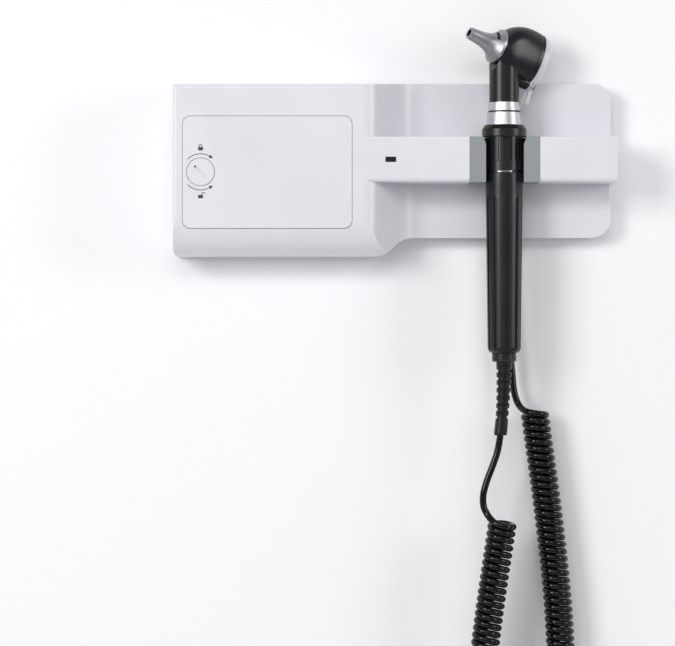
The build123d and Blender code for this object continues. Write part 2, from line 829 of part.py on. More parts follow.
# (reach, half width, half height, rise of the section's centre, squareness: 2 is an ellipse)
case_sections = (
    (case_front, 12.0, 12.2, 0.0, 2.0),
    (1.4, 12.5, 15.2, 0.5, 2.3),
    (-2.8, 12.7, 17.1, 1.3, 2.6),
    (-8.6, 12.5, 18.2, 2.3, 2.6),
    (-15.5, 12.0, 18.7, 2.8, 2.4),
    (case_back, 11.4, 18.5, 3.0, 2.2),
)


def rounded_section(half_width, half_height, squareness):
    """An oval that gets squarer than an ellipse as squareness grows past 2."""
    points = []
    for step in range(24):
        angle = 2 * math.pi * step / 24
        across, up = math.cos(angle), math.sin(angle)
        points.append(
            (
                math.copysign(half_width * abs(across) ** (2 / squareness), across),
                math.copysign(half_height * abs(up) ** (2 / squareness), up),
            )
        )
    with BuildSketch() as oval:
        with BuildLine():
            Spline(*points, periodic=True)
        make_face()
    return oval.sketch


def case_loft(inset):
    """The domed head case's form, drawn in by the wall thickness when inset."""
    with BuildPart() as form:
        for reach, half_width, half_height, rise, squareness in case_sections:
            with BuildSketch(head_plane.offset(reach)):
                with Locations((0, rise)):
                    add(rounded_section(half_width - inset, half_height - inset, squareness))
        loft()
    return form.part


case_form = case_loft(0)
case_wall = 1.8
with BuildPart() as head_case:
    add(case_form)
    # boss for the lens pivot under the back of the case
    with BuildSketch(head_plane.offset(case_back)) as boss:
        with Locations((0, -pivot_drop)):
            Circle(4.2)
    extrude(amount=8.0)
    add(case_loft(case_wall), mode=Mode.SUBTRACT)
    with BuildSketch(head_plane.offset(case_back - 1)) as pin_hole:
        with Locations((0, -pivot_drop)):
            Circle(1.55)
    extrude(amount=7, mode=Mode.SUBTRACT)
    # opening down into the neck
    with BuildSketch(Plane(origin=(hand_x, hand_y, 58), x_dir=(1, 0, 0))) as neck_opening:
        Circle(7.0)
    extrude(amount=22, mode=Mode.SUBTRACT)
save(head_case.part, "head_case")

with BuildPart() as head_neck:
    with BuildSketch(Plane(origin=(hand_x, hand_y, neck_low + 0.05), x_dir=(1, 0, 0))) as neck_ring:
        Circle(neck_radius)
        Circle(neck_bore, mode=Mode.SUBTRACT)
    extrude(amount=30)
    add(case_loft(-0.04), mode=Mode.SUBTRACT)
    add(head_case.part, mode=Mode.SUBTRACT)
    # nothing of the neck stands in front of the case
    with BuildSketch(head_plane.offset(case_front)) as front_trim:
        Rectangle(80, 80)
    extrude(amount=40, mode=Mode.SUBTRACT)
save(head_neck.part.solids().sort_by(SortBy.VOLUME)[-1], "head_neck")

with BuildPart() as head_ring:
    add(
        turned(
            [
                (8.9, 41.0),
                (11.35, 41.0),
                (10.55, 46.75),
                (neck_radius - 0.4, 46.75),
                (neck_bore - 0.05, 46.75),
                (neck_bore - 0.05, 51.5),
                (6.6, 51.5),
                (6.6, 46.4),
                (8.9, 46.4),
                (8.9, 44.4),
                (9.85, 44.4),
                (9.85, 42.6),
                (8.9, 42.6),
            ]
        )
    )
    # entry slots, a twist away from where the lugs sit when locked
    for number in range(3):
        with BuildSketch(Plane(origin=(hand_x, hand_y, 40.5), x_dir=(1, 0, 0))) as entry:
            with Locations(Rotation(0, 0, 120 * number + 70)):
                with Locations((9.2, 0)):
                    Rectangle(1.3, 3.8)
        extrude(amount=3.0, mode=Mode.SUBTRACT)
save(head_ring.part, "head_ring")

save(
    turned([(2.4, 47.0), (6.5, 47.0), (6.5, 51.5), (8.3, 51.6), (8.3, 58.0), (0, 58.0), (0, 54.0), (2.4, 54.0)]),
    "led_heat_sink",
)
save(turned([(0, 44.5), (1.5, 44.5), (1.5, 47.2), (2.3, 47.2), (2.3, 53.9), (0, 53.9)]), "led_contact")
save(turned([(0, 58.05), (2.6, 58.05), (2.6, 59.4), (1.6, 60.8), (0, 61.4)]), "led_emitter")

guide_drop = 7.5
guide_reach = 1.2
guide_corner = Vector(hand_x, hand_y, head_z - guide_drop / math.cos(head_tilt))
guide_end = guide_corner + tip * (guide_reach + guide_drop * math.tan(head_tilt))
with BuildPart() as light_guide:
    with BuildLine() as guide_run:
        FilletPolyline((hand_x, hand_y, 61.7), guide_corner, guide_end, radius=3.5)
    with BuildSketch(Plane(origin=(hand_x, hand_y, 61.7))) as guide_section:
        Circle(1.7)
    sweep()
save(light_guide.part, "light_guide")

with BuildPart() as speculum_seat:
    add(
        head_turned(
            [
                (6.2, 1.6),
                (9.9, 1.6),
                (9.9, case_front + 0.05),
                (11.7, case_front + 0.05),
                (11.7, 5.2),
                (10.2, 5.2),
                (8.6, 8.4),
                (6.6, 11.2),
                (4.7, 15.0),
                (3.7, 20.0),
                (2.9, 20.0),
                (3.6, 15.0),
                (5.0, 9.0),
                (6.2, 4.2),
            ]
        )
    )
save(speculum_seat.part, "speculum_seat")

with BuildPart() as speculum:
    with BuildSketch(head_half_plane) as speculum_half:
        with BuildLine():
            outer = Spline((4.05, tip_reach), (4.75, 22.4), (6.1, 15.2), (8.3, 11.0), (10.4, 8.6), (11.9, flange_front))
            Polyline((11.9, flange_front), (12.25, flange_front), (12.25, flange_back), (11.1, flange_back))
            inner = Spline((11.1, flange_back), (9.5, 8.4), (7.45, 11.0), (5.3, 15.4), (3.95, 22.4), (2.6, tip_reach))
            Line((2.6, tip_reach), (4.05, tip_reach))
        make_face()
    revolve(axis=head_axis)
    # bayonet slot through the skirt, on the upper near side
    with BuildSketch(head_plane.offset(slot_back)) as bayonet_slot:
        with BuildLine():
            Polyline((0, 0), (16, 16 * math.tan(math.radians(16))), (16, 16), (5, 16), close=True)
        make_face()
    extrude(amount=slot_front - slot_back, mode=Mode.SUBTRACT)
save(speculum.part, "speculum")


def back_outline(half_width, half_height, rise, lobe):
    """Outline of the head's back: an oval with a round lobe at the lens pivot."""
    with BuildSketch() as outline:
        with Locations((0, rise)):
            Ellipse(half_width, half_height)
        if lobe:
            with Locations((0, -pivot_drop)):
                Circle(lobe)
    return outline.sketch


with BuildPart() as magnifier_frame:
    with BuildSketch(head_plane.offset(rim_back)) as frame_face:
        add(back_outline(11.2, 18.4, 2.9, 4.2))
        with Locations((0, 3.0)):
            Ellipse(8.4, 12.6, mode=Mode.SUBTRACT)
        with Locations((0, -pivot_drop)):
            Circle(1.55, mode=Mode.SUBTRACT)
    extrude(amount=rim_front - rim_back)
    # spigot that enters the case
    with BuildSketch(head_plane.offset(rim_front)) as spigot:
        with Locations((0, 3.0)):
            Ellipse(9.3, 13.5)
            Ellipse(8.4, 12.6, mode=Mode.SUBTRACT)
    extrude(amount=2.0)
save(magnifier_frame.part, "magnifier_frame")

with BuildPart() as magnifier_lens:
    with BuildSketch(head_plane.offset(lens_back)) as lens_face:
        add(back_outline(11.2, 18.0, 2.5, 4.2))
        with Locations((0, -pivot_drop)):
            Circle(1.58, mode=Mode.SUBTRACT)
    extrude(amount=lens_front - lens_back)
    # thumb tab below the pivot
    with BuildSketch(head_plane.offset(lens_back)) as tab:
        with Locations((0, -pivot_drop - 8.6)):
            RectangleRounded(6.6, 12.8, 2.2)
        with Locations((0, -pivot_drop)):
            Circle(1.58, mode=Mode.SUBTRACT)
    extrude(amount=2.6)
save(magnifier_lens.part, "magnifier_lens")

with BuildPart() as lens_pivot:
    with BuildSketch(head_plane.offset(lens_back - 1.3)) as pivot_head:
        with Locations((0, -pivot_drop)):
            Circle(2.7)
    extrude(amount=1.0)
    with BuildSketch(head_plane.offset(lens_back - 0.5)) as pivot_shaft:
        with Locations((0, -pivot_drop)):
            Circle(1.5)
    extrude(amount=case_back - lens_back + 4.0)
save(lens_pivot.part, "lens_pivot")


# ================================================================ curly cord
def cord_tube(node, points, radius, start_dir):
    """A tube along straight runs joined by arcs as large as the runs allow."""
    corners = [Vector(*point) for point in points]
    radii = []
    for before, corner, after in zip(corners, corners[1:], corners[2:]):
        turn = math.radians((corner - before).get_angle(after - corner))
        run = min((corner - before).length, (after - corner).length)
        radii.append(0.45 * run / math.tan(turn / 2))
    with BuildPart() as tube:
        with BuildLine() as route:
            FilletPolyline(*corners, radius=radii)
        with BuildSketch(Plane(origin=corners[0], z_dir=start_dir)):
            Circle(radius)
        sweep()
    length = route.wires()[0].length if route.wires() else sum(edge.length for edge in route.edges())
    volume_error = tube.part.volume / (math.pi * radius ** 2 * length) - 1
    print(node, "radii", [round(value, 1) for value in radii], "length", round(length, 1),
          "volume error", round(volume_error, 4))
    save(tube.part, node)


lead_wall_points = [
    (gland_x, gland_y, gland_end + 0.01),
    (78.3, -7.4, -84.0),
    (79.6, -8.0, -112.0),
    (82.2, -8.8, -138.0),
    (83.4, -9.8, -154.0),
    (87.4, -11.2, -164.4),
    (95.5, -12.4, -168.8),
]
coil_right_points = [
    (97.6, -13.0, -167.0),
    (100.2, -13.2, -186.0),
    (105.2, -13.6, -222.0),
    (109.4, -14.0, -256.0),
    (113.1, -14.6, -290.0),
    (115.3, -15.4, -322.0),
    (115.6, -16.4, -346.0),
]
coil_bottom_points = [
    (115.6, -16.4, -346.0),
    (115.2, -17.5, -362.0),
    (109.0, -19.6, -382.0),
    (95.0, -22.6, -395.0),
    (79.0, -26.0, -394.0),
    (66.0, -29.0, -380.0),
    (60.6, -31.2, -362.0),
    (60.7, -32.2, -346.4),
]
coil_left_points = [
    (60.95, -32.45, -344.6),
    (62.0, -33.0, -330.0),
    (65.2, -33.6, -304.0),
    (69.2, -34.2, -276.0),
    (74.2, -34.6, -242.5),
]
lead_hand_points = [
    (relief_end_x, hand_y, relief_end + 0.01),
    (71.4, hand_y, -192.0),
    (67.6, hand_y, -203.0),
    (63.0, hand_y, -214.5),
    (60.2, -35.2, -225.5),
    (62.0, -35.4, -236.5),
    (70.5, -35.2, -243.5),
]


def first_run(points):
    return Vector(*points[1]) - Vector(*points[0])


cord_tube("cord_lead_wall", lead_wall_points, cord_diameter / 2, first_run(lead_wall_points))
cord_tube("cord_coil_right", coil_right_points, coil_diameter / 2, first_run(coil_right_points))
cord_tube("cord_coil_bottom", coil_bottom_points, coil_diameter / 2, first_run(coil_bottom_points))
cord_tube("cord_coil_left", coil_left_points, coil_diameter / 2, first_run(coil_left_points))
cord_tube("cord_lead_handset", lead_hand_points, cord_diameter / 2, first_run(lead_hand_points))
print(len(written), "nodes")
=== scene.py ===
"""Wall-mounted otoscope set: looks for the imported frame, in metres, in the frame's own axes."""
import math

import bpy
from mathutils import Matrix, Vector


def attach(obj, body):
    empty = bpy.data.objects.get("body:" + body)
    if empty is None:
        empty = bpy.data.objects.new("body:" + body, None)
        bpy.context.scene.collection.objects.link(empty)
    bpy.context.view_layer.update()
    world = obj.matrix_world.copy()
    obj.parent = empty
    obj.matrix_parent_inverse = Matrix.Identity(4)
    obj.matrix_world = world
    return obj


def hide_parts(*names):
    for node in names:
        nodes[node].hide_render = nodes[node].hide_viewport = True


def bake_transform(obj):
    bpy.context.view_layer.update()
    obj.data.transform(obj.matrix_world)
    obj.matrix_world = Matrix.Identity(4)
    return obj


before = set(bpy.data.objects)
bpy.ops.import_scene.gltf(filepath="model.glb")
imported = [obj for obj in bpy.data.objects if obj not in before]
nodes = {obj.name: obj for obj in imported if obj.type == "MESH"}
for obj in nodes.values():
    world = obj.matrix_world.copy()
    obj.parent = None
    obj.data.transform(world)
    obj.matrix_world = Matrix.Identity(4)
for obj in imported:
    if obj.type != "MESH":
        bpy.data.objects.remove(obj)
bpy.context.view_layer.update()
scene = bpy.context.scene

HANDLE_X, HANDLE_Y = 0.0753, -0.035

# ---------------------------------------------------------------- camera
camera_data = bpy.data.cameras.new("camera")
camera_data.lens = 167.6
camera_data.sensor_width = 36
camera_data.clip_end = 20
camera = bpy.data.objects.new("camera", camera_data)
camera.location = (-0.0395, -2.2, -0.105)
camera.rotation_euler = (math.radians(90), 0, 0)
scene.collection.objects.link(camera)
scene.camera = camera


# ---------------------------------------------------------------- materials
NOISE_LOW, NOISE_HIGH = 0.3, 0.7   # the noise textures stay nearly within this range
PLASTIC_GRAIN_DEPTH, METAL_LINE_DEPTH = 0.00006, 0.00004


def new_material(name, **values):
    """A Principled material with constant values on its sockets; returns (material, tree, shader)."""
    material = bpy.data.materials.new(name)
    material.use_nodes = True
    tree = material.node_tree
    shader = tree.nodes["Principled BSDF"]
    for socket, value in values.items():
        shader.inputs[socket.replace("_", " ")].default_value = value
    return material, tree, shader


def texture(tree, scale, detail=2.0, stretch=(1, 1, 1)):
    """A noise in the object's own coordinates, stretched per axis."""
    coordinates = tree.nodes.new("ShaderNodeTexCoord")
    mapping = tree.nodes.new("ShaderNodeMapping")
    mapping.inputs["Scale"].default_value = stretch
    noise = tree.nodes.new("ShaderNodeTexNoise")
    noise.inputs["Scale"].default_value = scale
    noise.inputs["Detail"].default_value = detail
    tree.links.new(coordinates.outputs["Object"], mapping.inputs["Vector"])
    tree.links.new(mapping.outputs["Vector"], noise.inputs["Vector"])
    return noise


def spread(tree, source, low, high):
    """The texture's factor mapped to a range."""
    to_range = tree.nodes.new("ShaderNodeMapRange")
    to_range.inputs["From Min"].default_value = NOISE_LOW
    to_range.inputs["From Max"].default_value = NOISE_HIGH
    to_range.inputs["To Min"].default_value = low
    to_range.inputs["To Max"].default_value = high
    tree.links.new(source, to_range.inputs["Value"])
    return to_range.outputs["Result"]


def mottle(tree, shader, noise, colour, amount):
    """A slight light and dark variation of the base colour."""
    ramp = tree.nodes.new("ShaderNodeValToRGB")
    ramp.color_ramp.elements[0].position = NOISE_LOW
    ramp.color_ramp.elements[1].position = NOISE_HIGH
    ramp.color_ramp.elements[0].color = (*[c * (1 - amount) for c in colour], 1)
    ramp.color_ramp.elements[1].color = (*[min(1, c * (1 + amount)) for c in colour], 1)
    tree.links.new(noise.outputs["Fac"], ramp.inputs["Fac"])
    tree.links.new(ramp.outputs["Color"], shader.inputs["Base Color"])


def add_bump(tree, shader, noise, strength, distance):
    bump = tree.nodes.new("ShaderNodeBump")
    bump.inputs["Strength"].default_value = strength
    bump.inputs["Distance"].default_value = distance
    tree.links.new(noise.outputs["Fac"], bump.inputs["Height"])
    tree.links.new(bump.outputs["Normal"], shader.inputs["Normal"])


def moulded(name, colour, roughness, grain=2600, bump=0.12, amount=0.02, **values):
    """Moulded plastic: fine spark texture, broad colour drift and uneven sheen."""
    material, tree, shader = new_material(name, **values)
    fine = texture(tree, grain, 2)
    broad = texture(tree, 28, 3)
    mottle(tree, shader, broad, colour, amount)
    sheen = spread(tree, broad.outputs["Fac"], roughness * 0.9, roughness * 1.1)
    tree.links.new(sheen, shader.inputs["Roughness"])
    add_bump(tree, shader, fine, bump, PLASTIC_GRAIN_DEPTH)
    return material


def machined(name, colour, roughness, stretch, bump=0.15, **values):
    """Metal with fine lines left by turning or brushing."""
    material, tree, shader = new_material(name, Metallic=1.0, **values)
    lines = texture(tree, 900, 4, stretch)
    mottle(tree, shader, lines, colour, 0.06)
    sheen = spread(tree, lines.outputs["Fac"], roughness * 0.75, roughness * 1.3)
    tree.links.new(sheen, shader.inputs["Roughness"])
    add_bump(tree, shader, lines, bump, METAL_LINE_DEPTH)
    return material


ROUND_HANDLE = (0.02, 0.02, 4.0)
white = moulded("white_plastic", (0.72, 0.71, 0.75), 0.34, Coat_Weight=0.12, Coat_Roughness=0.2)
inner = moulded("inner_plastic", (0.70, 0.70, 0.72), 0.5)
grey = moulded("grey_plastic", (0.265, 0.275, 0.295), 0.5, grain=1800, bump=0.2, amount=0.04)
black = moulded(
    "black_plastic", (0.005, 0.005, 0.006), 0.32, grain=2000, bump=0.16, amount=0.12, Specular_IOR_Level=0.42
)
black_head = moulded(
    "black_head_plastic", (0.004, 0.004, 0.005), 0.3,
    grain=2400, bump=0.08, amount=0.1, Specular_IOR_Level=0.4,
)
gloss_black = moulded(
    "gloss_black_plastic", (0.003, 0.003, 0.004), 0.08, bump=0.01, amount=0.05, Specular_IOR_Level=0.3
)
silver = machined("satin_silver", (0.56, 0.56, 0.575), 0.4, ROUND_HANDLE)
speculum_metal = machined("speculum_metal", (0.34, 0.34, 0.36), 0.4, (1, 1, 1), bump=0.12)
steel = machined("plated_steel", (0.55, 0.55, 0.57), 0.35, (1, 1, 1))
brass = machined("turned_brass", (0.7, 0.5, 0.24), 0.3, ROUND_HANDLE)
cord_skin = moulded(
    "cord_jacket", (0.0022, 0.0022, 0.0026), 0.09, bump=0.01, amount=0.15, Specular_IOR_Level=0.3
)
relief_skin = moulded(
    "relief_rubber", (0.004, 0.004, 0.0045), 0.34, grain=1500, bump=0.12, amount=0.12, Specular_IOR_Level=0.35
)
clear, clear_tree, clear_shader = new_material("clear_acrylic", IOR=1.49, Alpha=0.34)
mottle(clear_tree, clear_shader, texture(clear_tree, 60, 2), (0.80, 0.82, 0.84), 0.02)
clear_sheen = spread(clear_tree, texture(clear_tree, 300, 2).outputs["Fac"], 0.05, 0.09)
clear_tree.links.new(clear_sheen, clear_shader.inputs["Roughness"])
tinted = moulded("tinted_window", (0.012, 0.008, 0.010), 0.09, bump=0.01, amount=0.1)
ink, ink_tree, ink_shader = new_material("ink", Roughness=0.5)
mottle(ink_tree, ink_shader, texture(ink_tree, 900, 2), (0.035, 0.035, 0.04), 0.15)
sleeve = moulded("cell_sleeve", (0.03, 0.04, 0.07), 0.3)
board = moulded("circuit_board", (0.02, 0.12, 0.05), 0.35, amount=0.1)
epoxy = moulded("epoxy", (0.02, 0.02, 0.02), 0.45)
wire_red = moulded("wire_insulation", (0.35, 0.03, 0.03), 0.4)

FINISHES = {
    white: ["front_housing", "battery_door", "lock_knob"],
    inner: ["rear_plate", "battery_tray", "board_connector", "contact_insulator"],
    grey: ["cradle_insert"],
    black: ["handle_grip", "brightness_ring", "handle_end_ring"],
    black_head: ["head_neck", "head_case", "speculum_seat", "magnifier_frame", "lens_pivot"],
    gloss_black: ["collar_trim"],
    silver: ["handle_cone", "head_ring", "bayonet_lugs"],
    speculum_metal: ["speculum"],
    clear: ["magnifier_lens", "light_guide", "led_emitter", "reed_switch", "indicator_led"],
    tinted: ["indicator_window"],
    steel: [
        "housing_screws", "board_screws", "lock_cam", "lock_clip", "negative_contact",
        "positive_contact", "link_contact", "handle_core", "handle_magnet",
    ],
    brass: ["contact_plunger", "led_contact", "led_heat_sink"],
    sleeve: ["battery_1", "battery_2", "battery_3", "battery_4"],
    board: ["driver_board", "dimmer_board"],
    epoxy: ["boost_coil", "driver_chip", "smoothing_capacitor", "dimmer_control"],
    cord_skin: [
        "cord_lead_wall", "cord_coil_right", "cord_coil_bottom", "cord_coil_left", "cord_lead_handset",
        "cord_gland",
    ],
    relief_skin: ["strain_relief", "head_seal"],
    wire_red: ["battery_leads", "output_leads"],
}
for finish, members in FINISHES.items():
    for member in members:
        data = nodes[member].data
        data.materials.clear()
        data.materials.append(finish)


def new_mesh(name, points, faces, material, smooth=True):
    """A mesh object from points and faces."""
    data = bpy.data.meshes.new(name)
    data.from_pydata([tuple(point) for point in points], [], faces)
    data.update()
    if smooth:
        data.shade_smooth()
    data.materials.append(material)
    piece = bpy.data.objects.new(name, data)
    scene.collection.objects.link(piece)
    return piece


# ---------------------------------------------------------------- curly cord
CORD_DIAMETER = 0.0047
HELIX_RADIUS = 0.0078
COIL_PITCH = 0.00505
TURN_STEPS = 32
PART_TURN = 35 / 360               # turned beyond the whole turns, so that the lead leaves where it does
END_PHASE = math.radians(75)
LEAN_FALLING, LEAN_RISING = 3, 11  # degrees by which a turn's right side hangs lower in each run
NOD, NOD_AT_TOP, NOD_STRETCH = 3, 13, 0.012
HANGING_SHARPNESS = 6              # how quickly the turns leave the level as the axis bends
WALL_TRIM, HAND_TRIM, BRIDGE_STEPS = 0.013, 0.012, 14
TUBE_SIDES = 14
LEAD_WALL = [
    (0.0780, -0.0072, -0.05499), (0.0783, -0.0074, -0.0840), (0.0796, -0.0080, -0.1120),
    (0.0822, -0.0088, -0.1380), (0.0834, -0.0098, -0.1540), (0.0874, -0.0112, -0.1644),
    (0.0955, -0.0124, -0.1688),
]
COIL_AXIS = [
    (0.0976, -0.0130, -0.1670), (0.1002, -0.0132, -0.1860), (0.1052, -0.0136, -0.2220),
    (0.1094, -0.0140, -0.2560), (0.1131, -0.0146, -0.2900), (0.1153, -0.0154, -0.3220),
    (0.1156, -0.0164, -0.3460), (0.1152, -0.0175, -0.3620), (0.1090, -0.0196, -0.3820),
    (0.0950, -0.0226, -0.3950), (0.0790, -0.0260, -0.3940), (0.0660, -0.0290, -0.3800),
    (0.0606, -0.0312, -0.3620), (0.0607, -0.0322, -0.3464), (0.0620, -0.0330, -0.3300),
    (0.0652, -0.0336, -0.3040), (0.0692, -0.0342, -0.2760), (0.0742, -0.0346, -0.2425),
]
LEAD_HAND = [
    (0.07265, -0.0350, -0.18239), (0.0714, -0.0350, -0.1920), (0.0676, -0.0350, -0.2030),
    (0.0630, -0.0350, -0.2145), (0.0602, -0.0352, -0.2255), (0.0620, -0.0354, -0.2365),
    (0.0705, -0.0352, -0.2435),
]


def spline_points(control):
    """Points along the smooth NURBS line that has these control points."""
    data = bpy.data.curves.new("route", "CURVE")
    data.dimensions = "3D"
    data.resolution_u = 24
    spline = data.splines.new("NURBS")
    spline.points.add(len(control) - 1)
    for point, place in zip(spline.points, control):
        point.co = (*place, 1)
    spline.order_u = 3
    spline.use_endpoint_u = True
    holder = bpy.data.objects.new("route", data)
    scene.collection.objects.link(holder)
    line = bpy.data.meshes.new_from_object(holder)
    points = [vertex.co.copy() for vertex in line.vertices]
    bpy.data.objects.remove(holder)
    bpy.data.curves.remove(data)
    bpy.data.meshes.remove(line)
    return points


def run_lengths(points):
    """Distance along the line at each point."""
    lengths = [0.0]
    for before, after in zip(points, points[1:]):
        lengths.append(lengths[-1] + (after - before).length)
    return lengths


def at_length(points, lengths, wanted, start=0):
    """(point, direction, index) at a distance along the line."""
    index = start
    while index < len(points) - 2 and lengths[index + 1] < wanted:
        index += 1
    run = points[index + 1] - points[index]
    share = (wanted - lengths[index]) / run.length
    return points[index] + run * share, run.normalized(), index


def hermite(start, start_way, end, end_way, steps):
    """Points of a smooth bridge between two directions, ends left out."""
    reach = (end - start).length
    bridge = []
    for step in range(1, steps):
        t = step / steps
        bridge.append(
            start * (2 * t ** 3 - 3 * t ** 2 + 1)
            + start_way * reach * (t ** 3 - 2 * t ** 2 + t)
            + end * (3 * t ** 2 - 2 * t ** 3)
            + end_way * reach * (t ** 3 - t ** 2)
        )
    return bridge


def helix_points(axis_points):
    """The coils round their axis: left-handed, hanging with each turn's right side a little lower."""
    lengths = run_lengths(axis_points)
    total = lengths[-1]
    turns = round(total / COIL_PITCH) + PART_TURN
    steps = round(turns * TURN_STEPS)
    points = []
    index = 0
    for step in range(steps + 1):
        distance = total * step / steps
        centre, way, index = at_length(axis_points, lengths, distance, index)
        share = distance / total
        # the turns hang level in the straight runs and follow the axis round the bend
        vertical = abs(way.z) ** HANGING_SHARPNESS
        down = -1 if way.z < 0 else 1
        near_top = max(0.0, 1 - (total - distance) / NOD_STRETCH)
        lean = math.radians(LEAN_FALLING if down < 0 else LEAN_RISING)
        nod = math.radians(NOD + (NOD_AT_TOP * near_top if down > 0 else 0))
        level = Vector((-math.sin(lean), math.sin(nod), -math.cos(lean))) * -down
        normal = (way * (1 - vertical) + level * vertical).normalized()
        near = Vector((0, -1, 0))
        near = (near - normal * near.dot(normal)).normalized()
        across = near.cross(normal)
        phase = END_PHASE + 2 * math.pi * turns * (1 - share)
        points.append(centre + (across * math.cos(phase) + near * math.sin(phase)) * HELIX_RADIUS)
    return points


def tube_mesh(name, points, radius, sides, material):
    """A round tube along a line, its sections carried along without twist, with closed ends."""
    last_point = len(points) - 1
    ways = [
        (points[min(i + 1, last_point)] - points[max(i - 1, 0)]).normalized() for i in range(len(points))
    ]
    across = ways[0].orthogonal().normalized()
    rings = []
    for point, way in zip(points, ways):
        across = (across - way * across.dot(way)).normalized()
        other = way.cross(across)
        for side in range(sides):
            angle = 2 * math.pi * side / sides
            rings.append(point + (across * math.cos(angle) + other * math.sin(angle)) * radius)
    faces = []
    for ring in range(len(points) - 1):
        low = ring * sides
        for side in range(sides):
            after = (side + 1) % sides
            faces.append((low + side, low + after, low + sides + after, low + sides + side))
    faces.append(tuple(reversed(range(sides))))
    last = (len(points) - 1) * sides
    faces.append(tuple(range(last, last + sides)))
    return new_mesh(name, rings, faces, material)


def trim_end(points, amount):
    """The line without its last stretch."""
    lengths = run_lengths(points)
    return [point for point, length in zip(points, lengths) if length < lengths[-1] - amount]


helix = helix_points(spline_points(COIL_AXIS))
lead_wall = trim_end(spline_points(LEAD_WALL), WALL_TRIM)
lead_hand = trim_end(spline_points(LEAD_HAND), HAND_TRIM)
bridge_wall = hermite(
    lead_wall[-1],
    (lead_wall[-1] - lead_wall[-2]).normalized(),
    helix[0],
    (helix[1] - helix[0]).normalized(),
    BRIDGE_STEPS,
)
bridge_hand = hermite(
    helix[-1],
    (helix[-1] - helix[-2]).normalized(),
    lead_hand[-1],
    (lead_hand[-2] - lead_hand[-1]).normalized(),
    BRIDGE_STEPS,
)
cord_line = lead_wall + bridge_wall + helix + bridge_hand + list(reversed(lead_hand))
cord = tube_mesh("curly_cord", cord_line, CORD_DIAMETER / 2, TUBE_SIDES, cord_skin)
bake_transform(cord)
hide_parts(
    "cord_lead_wall", "cord_coil_right", "cord_coil_bottom", "cord_coil_left", "cord_lead_handset"
)


# ---------------------------------------------------------------- strain relief
RELIEF_TOP, RELIEF_END = -0.1317, -0.1824
RELIEF_DRIFT = -0.00265
RELIEF_SLOTS = 7
RELIEF_SLOT_PITCH = 0.0053
RELIEF_SLOT_DEPTH = 0.0011
RELIEF_FIRST_SLOT, RELIEF_LAST_SLOT = 0.0037, 0.039
RELIEF_SLOT_HALF, RELIEF_SLOT_EDGE = 0.00085, 0.0004
RELIEF_SLOT_SWING, RELIEF_SWING_EDGE = 0.62, 0.16    # half angle of a slot, radians
RELIEF_RADIUS, RELIEF_TAPER, RELIEF_TAPER_SHARE = 0.0055, 0.00115, 0.75
RELIEF_FLARE, RELIEF_END_ROUND, RELIEF_END_SHARE = 0.0002, 0.0005, 0.97
RELIEF_RINGS, RELIEF_SIDES = 240, 72


def smooth_window(value, half, edge):
    """1 inside half, 0 outside, with a soft edge."""
    t = min(1.0, max(0.0, (half + edge / 2 - abs(value)) / edge))
    return t * t * (3 - 2 * t)


def strain_relief():
    """The cord's tapered sleeve with its rows of flexing slots."""
    rings, sides = RELIEF_RINGS, RELIEF_SIDES
    height = RELIEF_TOP - RELIEF_END
    # slots open to the front and back, then to both sides half a pitch lower
    slot_rows = ((math.pi / 2, RELIEF_FIRST_SLOT), (0, RELIEF_FIRST_SLOT + RELIEF_SLOT_PITCH / 2))
    points = []
    for ring in range(rings + 1):
        share = ring / rings
        drop = height * share
        centre = Vector((HANDLE_X + RELIEF_DRIFT * share ** 2, HANDLE_Y, RELIEF_TOP - drop))
        base = RELIEF_RADIUS - RELIEF_TAPER * min(1, share / RELIEF_TAPER_SHARE)
        if share > RELIEF_TAPER_SHARE:
            base += RELIEF_FLARE * (share - RELIEF_TAPER_SHARE) / (1 - RELIEF_TAPER_SHARE)
        base -= RELIEF_END_ROUND * max(0, (share - RELIEF_END_SHARE) / (1 - RELIEF_END_SHARE)) ** 2
        for side in range(sides):
            angle = 2 * math.pi * side / sides
            depth = 0.0
            for slot in range(RELIEF_SLOTS):
                for turn, offset in slot_rows:
                    middle = offset + RELIEF_SLOT_PITCH * slot
                    if middle > RELIEF_LAST_SLOT:
                        continue
                    along = smooth_window(drop - middle, RELIEF_SLOT_HALF, RELIEF_SLOT_EDGE)
                    if along == 0:
                        continue
                    swing = abs((angle - turn + math.pi / 2) % math.pi - math.pi / 2)
                    depth = max(depth, along * smooth_window(swing, RELIEF_SLOT_SWING, RELIEF_SWING_EDGE))
            radius = base - RELIEF_SLOT_DEPTH * depth
            points.append(centre + Vector((math.cos(angle), math.sin(angle), 0)) * radius)
    faces = []
    for ring in range(rings):
        low = ring * sides
        for side in range(sides):
            after = (side + 1) % sides
            faces.append((low + side, low + sides + side, low + sides + after, low + after))
    faces.append(tuple(range(sides)))
    last = rings * sides
    faces.append(tuple(reversed(range(last, last + sides))))
    piece = new_mesh("strain_relief_moulding", points, faces, relief_skin)
    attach(piece, "handset")
    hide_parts("strain_relief")


strain_relief()

# ---------------------------------------------------------------- marks beside the lock
KNOB_X, KNOB_Z = -0.1333, -0.0015
DOOR_FACE = -0.048
INK_LIFT = 0.00003
ARROW_RADIUS, ARROW_WIDTH, ARROW_HEAD = 0.0124, 0.0005, 0.0027
ARROW_FROM, ARROW_TO, ARROW_HEAD_AT, ARC_STEPS = 58, 136, 60, 18    # degrees; the lower arrow mirrors it
PADLOCK_RISE, PADLOCK_SIZE = 0.0164, 0.0034


